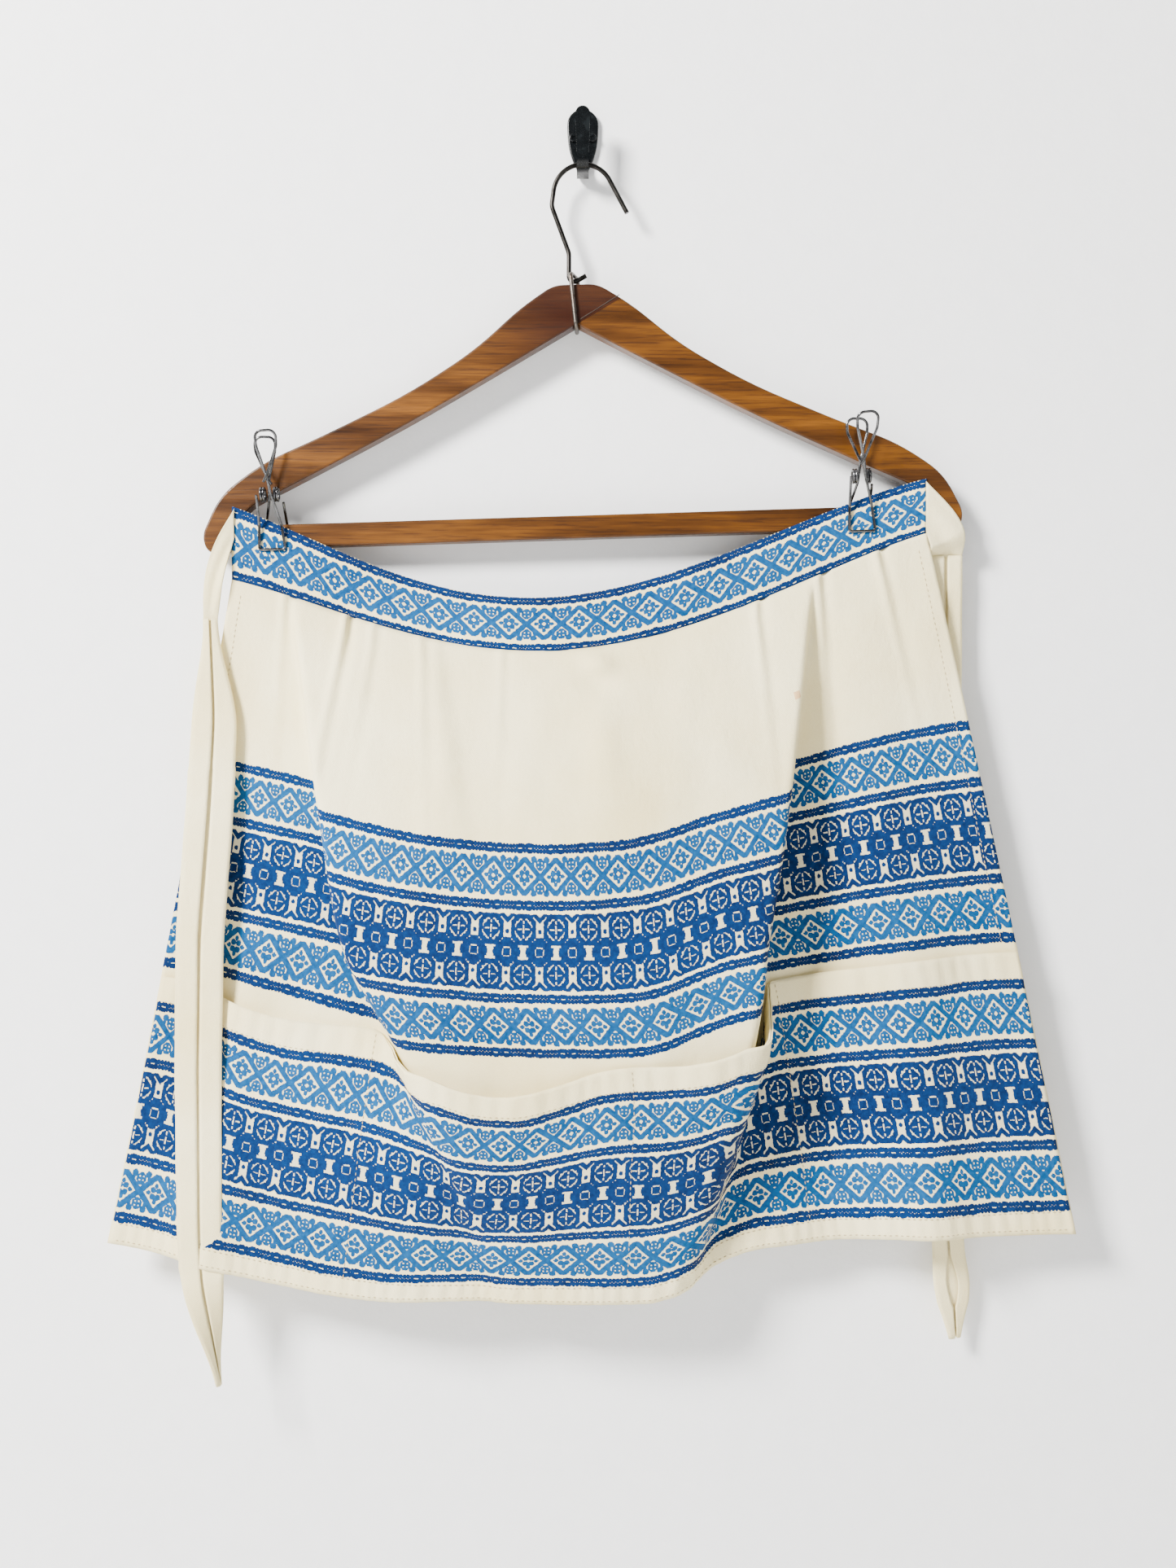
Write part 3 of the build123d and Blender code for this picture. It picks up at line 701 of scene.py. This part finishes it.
def grime_material():
    """Dark dirt in the joint line of the two arms."""
    material, tree, shader = new_material("joint_grime")
    place = object_place(tree)
    dirt = [(0.3, (0.010, 0.006, 0.004)), (0.7, (0.035, 0.018, 0.010))]
    colour = ramp(tree, noise(tree, place, 500.0), dirt)
    tree.links.new(colour, shader.inputs["Base Color"])
    shader.inputs["Roughness"].default_value = 0.9
    return material


def wear(obj, material):
    """Gives an object one material."""
    obj.data.materials.clear()
    obj.data.materials.append(material)


# ---------------------------------------------------------------- materials on the CAD pieces
PLAIN = cotton("plain_cotton", woven=False)
WOVEN = cotton("woven_cotton", woven=True)
THREAD = thread_material()
BLACK = metal("black_enamel", (0.0006, 0.001, 0.0013), (0.0016, 0.0026, 0.0032), 0.26, metallic=0.0,
              worn=(0.006, 0.008, 0.009), coat=0.1)
DARK_WIRE = metal("dark_wire", (0.012, 0.011, 0.010), (0.040, 0.037, 0.034), 0.32)
LINK_WIRE = metal("aged_link_wire", (0.06, 0.052, 0.044), (0.17, 0.15, 0.13), 0.36, worn=(0.05, 0.025, 0.012))
PEG_WIRE = metal("bright_peg_wire", (0.025, 0.025, 0.026), (0.16, 0.16, 0.165), 0.20)
APEX = (-0.0043, -0.013, -0.098)
LEFT_ARM = varnished_wood("left_arm_wood", 29, APEX)
RIGHT_ARM = varnished_wood("right_arm_wood", -27, (-0.222, -0.013, -0.235))
BAR = varnished_wood("bar_wood", 1.8, (0.22, -0.013, -0.225))
CAD_FINISH = {
    "wall_hook": BLACK, "wall_hook_screws": BLACK, "hanger_wire_hook": DARK_WIRE, "hanger_link": LINK_WIRE,
    "left_arm": LEFT_ARM, "right_arm": RIGHT_ARM, "trouser_bar": BAR, "bar_brads": LINK_WIRE,
}
for side in ("left", "right"):
    for part in ("rear", "front", "coils"):
        CAD_FINISH[f"{side}_peg_{part}"] = PEG_WIRE
for node, material in CAD_FINISH.items():
    wear(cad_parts[node], material)


# ---------------------------------------------------------------- apron
def make_skirt():
    """The skirt, one fine sheet from the seam to the hem."""
    s, f = grid_of(np.linspace(-FLAT_HALF, FLAT_HALF, 262), np.linspace(0.0, 1.0, 138))
    skirt = cloth_object("apron_skirt", skirt_rows(s, f), np.stack([s, f * FLAT_LENGTH], axis=-1))
    wear(skirt, WOVEN)
    return skirt


def hem_cloth(name, across, down):
    """A turned hem that follows the skirt a little behind it."""
    s, f = grid_of(across, down)
    p = skirt_rows_at(s, f)
    p = p - front_normals(p) * HEM_BACK
    hem = cloth_object(name, p, np.stack([s, f * FLAT_LENGTH], axis=-1))
    wear(hem, PLAIN)
    return hem


def skirt_rows_at(s, f):
    """The skirt's surface on any grid: rows are worked out at full width, then cut.

    A grid whose points keep one level along each row uses its own rows; any other grid blends close rows.
    """
    full = np.linspace(-FLAT_HALF, FLAT_HALF, 523)
    if np.ptp(f, axis=0).max() == 0:
        rows = skirt_rows(*grid_of(full, f[0]))
        out = np.empty(s.shape + (3,))
        for j in range(f.shape[1]):
            for k in range(3):
                out[:, j, k] = np.interp(s[:, j], full, rows[:, j, k])
        return out
    levels = np.linspace(0, 1, 241)
    rows = skirt_rows(*grid_of(full, levels))
    a = np.interp(s, full, np.arange(len(full)))
    b = np.interp(f, levels, np.arange(len(levels)))
    i, j = np.clip(a.astype(int), 0, len(full) - 2), np.clip(b.astype(int), 0, len(levels) - 2)
    da, db = (a - i)[..., None], (b - j)[..., None]
    return ((rows[i, j] * (1 - da) + rows[i + 1, j] * da) * (1 - db)
            + (rows[i, j + 1] * (1 - da) + rows[i + 1, j + 1] * da) * db)


def front_normals(p):
    """Unit normals of one consistent side, the one that mostly looks towards -Y."""
    n = grid_normals(p)
    return n if n[..., 1].mean() < 0 else -n


def panel_points(s, g):
    """The pocket panel's points, and their levels on the skirt."""
    u = s / FLAT_HALF
    f = mouth(u) + (PANEL_END - mouth(u)) * g
    p = skirt_rows_at(s, f)
    pucker = 0.55 * np.sin(s * 0.62 + 1.8 * np.sin(s * 0.09)) * np.exp(-((g - 0.95) / 0.045) ** 2)
    pucker += 0.4 * np.sin(s * 0.5 + 2.0 * np.sin(s * 0.05)) * np.exp(-((g - 0.05) / 0.06) ** 2)
    lip = 0.8 * np.sin(s * 0.11 + 0.6) * np.exp(-g / 0.10)
    hems = 0.9 * smooth((g - 0.915) / 0.012) + 0.8 * smooth((0.112 - g) / 0.012)
    return p + front_normals(p) * (panel_gap(u, g) + pucker + lip + hems)[..., None], f


def make_panel():
    """The pocket panel across the whole skirt; its pattern is fitted between the mouth and the hem."""
    s, g = grid_of(np.linspace(-FLAT_HALF * 0.996, FLAT_HALF * 0.996, 262), np.linspace(0, 1, 60))
    p, f = panel_points(s, g)
    start = mouth(s / FLAT_HALF) + POCKET_GROUP
    down = GROUP_START + (f - start) / (GROUP_END - start) * 2 * GROUP_MIDDLE * CELL
    panel = cloth_object("apron_pocket_panel", p, np.stack([s, down], axis=-1))
    wear(panel, WOVEN)
    return panel


def make_pocket_hem():
    """The turned-in hem inside the pockets' top edge."""
    s, g = grid_of(np.linspace(-FLAT_HALF * 0.994, FLAT_HALF * 0.994, 150), np.linspace(0.004, 0.10, 7))
    p, _ = panel_points(s, g)
    p = p - front_normals(p) * POCKET_HEM_BACK
    hem = cloth_object("apron_pocket_hem", p, np.stack([s, g * 150], axis=-1))
    wear(hem, PLAIN)
    return hem


def make_waistband():
    """The waistband, sagging between the pegs with a slightly crowned front."""
    u, v = grid_of(np.linspace(-1, 1, 205), np.linspace(0, 1, 19))
    x = (SEAM_LEFT + SEAM_RIGHT) / 2 + u * (SEAM_RIGHT - SEAM_LEFT) / 2
    top, low = band_top_z(u), seam_z(u)
    ripple = 0.5 * np.sin(23 * u + 3 * v) * (np.abs(u) < 0.72) * (1 - (u / 0.72) ** 2)
    crown = 0.8 * np.sin(math.pi * v)
    y = BAND_Y + 0.5 - bulge(u) * (BAND_TOP_BULGE + (SEAM_BULGE - BAND_TOP_BULGE) * v) - crown - ripple
    z = top + v * (low - top - 0.2)
    p = np.stack([x, y, z], axis=-1)
    down = GROUP_START - 0.4 + v * BAND_HEIGHT
    band = cloth_object("apron_waistband", p, np.stack([u * BAND_HALF, down], axis=-1), BAND_THICK)
    wear(band, WOVEN)
    return band


def sewn_line(rows, lift):
    """The middle of three close rows of points, raised to the cloth's face, with its normals."""
    n = front_normals(rows)
    return rows[1] + n[1] * (FABRIC / 2 + lift), n[1]


def pocket_seam(place):
    """Three close rows of points down the panel at one share of the half width."""
    s, g = grid_of(place * FLAT_HALF + np.array([-1, 0, 1]), np.linspace(0.01, 0.93, 60))
    return panel_points(s, g)[0]


def side_seam(side):
    """Three close rows of points down the skirt, along a side hem."""
    s, f = grid_of(side * (FLAT_HALF - SIDE_HEM) + np.array([-1, 0, 1]), np.linspace(0.02, 0.605, 90))
    return skirt_rows_at(s, f)


def panel_row(level):
    """Three close rows of points across the panel at one level."""
    across = np.linspace(-FLAT_HALF * 0.985, FLAT_HALF * 0.985, 260)
    s, g = grid_of(across, level + np.array([-0.01, 0, 0.01]))
    return np.swapaxes(panel_points(s, g)[0], 0, 1)


def make_stitching():
    """Seams sewn through the panel, the side hems and the bottom hem."""
    lines = [sewn_line(pocket_seam(place), SEAM_LIFT) for place in POCKET_SEAMS[1:-1]]
    lines += [sewn_line(side_seam(side), SEAM_LIFT) for side in (-1, 1)]
    lines += [sewn_line(panel_row(level), SEAM_LIFT) for level in (0.925, 0.985)]
    lines.append(sewn_line(panel_row(0.095), MOUTH_SEAM_LIFT))
    sewing = stitches_object("apron_stitching", lines)
    wear(sewing, THREAD)
    return sewing


# ---------------------------------------------------------------- ties
def folded_section(width, flat, fold):
    """Corners (across, forward) of a strip's section, with both edges folded to the front."""
    half = width / 2
    turn = (flat - width) / 2
    corner = 1.1
    left_side = [-half + turn, -half + corner, -half, -half + corner]
    across = left_side + [-place for place in reversed(left_side)]
    forward = [-fold - 0.3, -fold, -fold / 2, 0, 0, -fold / 2, -fold, -fold - 0.3]
    return np.array(across), np.array(forward)


def refine(points, count):
    """Evenly spaced points along the straight runs between the given corners."""
    points = np.asarray(points, float)
    run = np.concatenate([[0], np.cumsum(np.linalg.norm(np.diff(points, axis=0), axis=1))])
    places = np.linspace(0, run[-1], count)
    return np.stack([np.interp(places, run, points[:, k]) for k in range(points.shape[1])], axis=1)


def eased(values, passes):
    """Rounds the corners of a line of points by averaging neighbours; its ends stay."""
    out = np.array(values, float)
    for _ in range(passes):
        out[1:-1] = out[1:-1] * 0.5 + (out[:-2] + out[2:]) * 0.25
    return out


def make_tie(name, route, width_of, flat_width, twist_of):
    """A hemmed tie that hangs along a route of (x, y, z), folded in from both edges."""
    centre = eased(refine(route, TIE_ROWS), 10)
    share = np.linspace(0, 1, TIE_ROWS)
    corners = np.arange(8)
    places = np.linspace(0, 7, TIE_COLUMNS)
    section_x, section_y = [], []
    for t in share:
        width = width_of(t)
        a, b = folded_section(width, min(flat_width, 2 * width - 1.5), 1.6 + 0.4 * math.sin(7 * t))
        section_x.append(np.interp(places, corners, a))
        section_y.append(np.interp(places, corners, b))
    section_x, section_y = np.array(section_x).T, np.array(section_y).T
    turn = np.array([twist_of(t) for t in share])[None, :]
    x = centre[:, 0][None, :] + section_x * np.cos(turn) - section_y * np.sin(turn)
    y = centre[:, 1][None, :] + section_x * np.sin(turn) + section_y * np.cos(turn)
    z = np.broadcast_to(centre[:, 2][None, :], x.shape)
    ripple = 0.35 * np.sin(share * 60)[None, :] * np.sin(np.linspace(0, 6, TIE_COLUMNS))[:, None]
    p = np.stack([x, y + ripple, z], axis=-1)
    uv = np.stack(grid_of(np.linspace(0, flat_width, TIE_COLUMNS), share * TIE_LENGTH), axis=-1)
    tie = cloth_object(name, p, uv)
    wear(tie, PLAIN)
    return tie


def make_fold(name, start, end, belly, front_share=0.0):
    """Cloth that turns from a waistband's end into the top of a tie.

    Each end runs between two points. With a front_share it stays in front for that share, then goes back.
    """
    a, b = grid_of(np.linspace(0, 1, 22), np.linspace(0, 1, 34))
    start, end = np.asarray(start, float), np.asarray(end, float)
    first = start[0] + (start[1] - start[0]) * a[..., None]
    last = end[0] + (end[1] - end[0]) * a[..., None]
    ease = b[..., None] ** 0.9
    p = first * (1 - ease) + last * ease
    lift = np.sin(math.pi * b)
    p[..., 0] += belly[0] * lift * (1 - a)
    p[..., 2] += belly[2] * lift
    if front_share:
        hold = smooth((b - front_share) / (1 - front_share) * 2 - 1)
        p[..., 1] = start[0][1] + (end[0][1] - start[0][1]) * hold + belly[1] * lift * 0.5
    else:
        p[..., 1] += belly[1] * lift * (0.6 + 0.4 * np.cos(5 * a + 3 * b))
    p[..., 1] += 0.8 * np.sin(9 * a + 4 * b) * lift
    fold = cloth_object(name, p, np.stack([a * 40, b * 60], axis=-1))
    wear(fold, PLAIN)
    return fold


def left_width(t):
    """The left tie opens out below the fold and tapers into a twisted tip."""
    if t < 0.2:
        return 8.0 + 18.0 * float(smooth(t / 0.075 - 1))
    if t < 0.84:
        return 26.0 + 1.2 * math.sin(5 * t)
    return 26.0 - 20.0 * ((t - 0.84) / 0.16) ** 1.1


def left_twist(t):
    """The left tie's tip turns most of the way to its side."""
    return 1.5 * max(0.0, t - 0.86) / 0.14


def right_width(t):
    """The right tie's end is rolled into a bulge with a blunt tip."""
    if t < 0.86:
        return 19.0
    roll = 3.5 * math.exp(-((t - 0.93) / 0.03) ** 2)
    return 18.0 + roll - 9.5 * max(0.0, t - 0.955) / 0.045


def right_twist(t):
    """The right tie's end turns a little."""
    return 0.5 * max(0.0, t - 0.9) / 0.1


# ---------------------------------------------------------------- the apron's pieces
skirt = make_skirt()
panel = make_panel()
pocket_hem = make_pocket_hem()
waistband = make_waistband()
sewing = make_stitching()
bottom_hem = hem_cloth("apron_bottom_hem", np.linspace(-FLAT_HALF * 0.96, FLAT_HALF * 0.96, 160),
                       np.linspace(0.963, 0.999, 7))
side_levels = np.linspace(0.004, 1, 110)
left_hem = hem_cloth("apron_left_hem", np.linspace(-FLAT_HALF, -FLAT_HALF + SIDE_HEM, 7), side_levels)
right_hem = hem_cloth("apron_right_hem", np.linspace(FLAT_HALF - SIDE_HEM, FLAT_HALF, 7), side_levels)
left_tie = make_tie("apron_left_tie", LEFT_TIE_ROUTE, left_width, LEFT_TIE_FLAT, left_twist)
left_fold_top = make_fold("apron_left_tie_fold", [(-203.5, -21.2, -221.5), (-203.5, -21.4, -239)],
                          [(-220.8, -23.6, -288), (-212.8, -23.4, -288)], (-5.5, -2.5, 4.0))
right_tie = make_tie("apron_right_tie", RIGHT_TIE_ROUTE, right_width, RIGHT_TIE_FLAT, right_twist)
right_fold_top = make_fold("apron_right_tie_fold", [(200.5, -21.0, -205.5), (200.5, -21.0, -235)],
                           [(223, -12.5, -249), (204.3, -12.5, -249)], (8.0, -1.2, 0.0), front_share=0.62)

# ---------------------------------------------------------------- small things on the wood
joint = tube_object("apex_joint_line", refine([(-1.4, -19.0, -110.4), (21.5, -19.0, -96.0)], 12),
                    0.32 + 0.06 * np.sin(np.arange(12)), 6)
wear(joint, grime_material())

# ---------------------------------------------------------------- what stands for what
on_hanger = (skirt, panel, pocket_hem, waistband, sewing, bottom_hem, left_hem, right_hem,
             left_fold_top, right_fold_top, joint)
for piece in on_hanger:
    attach(piece, "hanger")
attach(left_tie, "left_tie_end")
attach(right_tie, "right_tie_end")
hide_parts("skirt")
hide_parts("pocket_panel")
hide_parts("pocket_top_hem")
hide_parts("waistband")
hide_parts("bottom_hem")
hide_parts("left_side_hem")
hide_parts("right_side_hem")
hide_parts("left_tie_top")
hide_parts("left_tie")
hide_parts("right_tie_top")
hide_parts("right_tie")


# ---------------------------------------------------------------- stage, light and camera
def stage_plane(name, corners, material):
    """One flat stage surface."""
    mesh = bpy.data.meshes.new(name)
    mesh.from_pydata(corners, [], [(0, 1, 2, 3)])
    obj = bpy.data.objects.new(name, mesh)
    bpy.context.scene.collection.objects.link(obj)
    obj.data.materials.append(material)


def pale(name, colour, one_sided):
    """Faintly uneven pale plaster or board; a one-sided surface is clear from behind."""
    material, tree, shader = new_material(name)
    place = object_place(tree)
    darker = tuple(0.97 * part for part in colour)
    shade = ramp(tree, noise(tree, place, 60.0, 4.0), [(0.3, darker), (0.7, colour)])
    tree.links.new(shade, shader.inputs["Base Color"])
    shader.inputs["Roughness"].default_value = 0.95
    bumped(tree, shader, noise(tree, place, 180.0, 4.0), 0.0006, 0.35)
    if one_sided:
        geometry = tree.nodes.new("ShaderNodeNewGeometry")
        clear = tree.nodes.new("ShaderNodeBsdfTransparent")
        mix = tree.nodes.new("ShaderNodeMixShader")
        tree.links.new(geometry.outputs["Backfacing"], mix.inputs["Fac"])
        tree.links.new(shader.outputs["BSDF"], mix.inputs[1])
        tree.links.new(clear.outputs["BSDF"], mix.inputs[2])
        tree.links.new(mix.outputs["Shader"], tree.nodes["Material Output"].inputs["Surface"])
    return material


# places of the stage, the lights and the camera are in metres
WALL_Y = 0.0005
FLOOR_Z = -0.95
stage_plane("wall_backdrop", [(-3, WALL_Y, FLOOR_Z), (3, WALL_Y, FLOOR_Z), (3, WALL_Y, 2), (-3, WALL_Y, 2)],
            pale("white_wall", (0.90, 0.90, 0.905), one_sided=True))
stage_plane("pale_floor", [(-3, -3, FLOOR_Z), (3, -3, FLOOR_Z), (3, 3, FLOOR_Z), (-3, 3, FLOOR_Z)],
            pale("pale_floor", (0.78, 0.78, 0.77), one_sided=False))

MIDDLE = (0.0, -0.02, -0.35)


def area_light(name, place, size, power, colour=(1, 1, 1)):
    """A square soft light that looks at the object's middle."""
    data = bpy.data.lights.new(name, "AREA")
    data.shape = "SQUARE"
    data.size = size
    data.energy = power
    data.color = colour
    lamp = bpy.data.objects.new(name, data)
    lamp.location = place
    lamp.rotation_euler = (Vector(MIDDLE) - Vector(place)).to_track_quat("-Z", "Y").to_euler()
    bpy.context.scene.collection.objects.link(lamp)


area_light("key", (-1.45, -1.55, 0.85), 0.6, 235, (1.0, 0.985, 0.96))
area_light("fill", (1.3, -1.6, -0.2), 1.4, 10, (0.96, 0.98, 1.0))
area_light("back", (0.6, 1.4, 0.3), 1.2, 14)
world = bpy.data.worlds.new("studio")
world.use_nodes = True
world.node_tree.nodes["Background"].inputs["Color"].default_value = (0.95, 0.97, 1.0, 1)
world.node_tree.nodes["Background"].inputs["Strength"].default_value = 0.40
bpy.context.scene.world = world

lens = bpy.data.cameras.new("camera")
lens.lens = 39.3
lens.sensor_width = 36
lens.clip_start = 0.01
camera = bpy.data.objects.new("camera", lens)
camera.location = (0.0031, -1.020, -0.3822)
camera.rotation_euler = (math.radians(90), 0, 0)
bpy.context.scene.collection.objects.link(camera)
bpy.context.scene.camera = camera
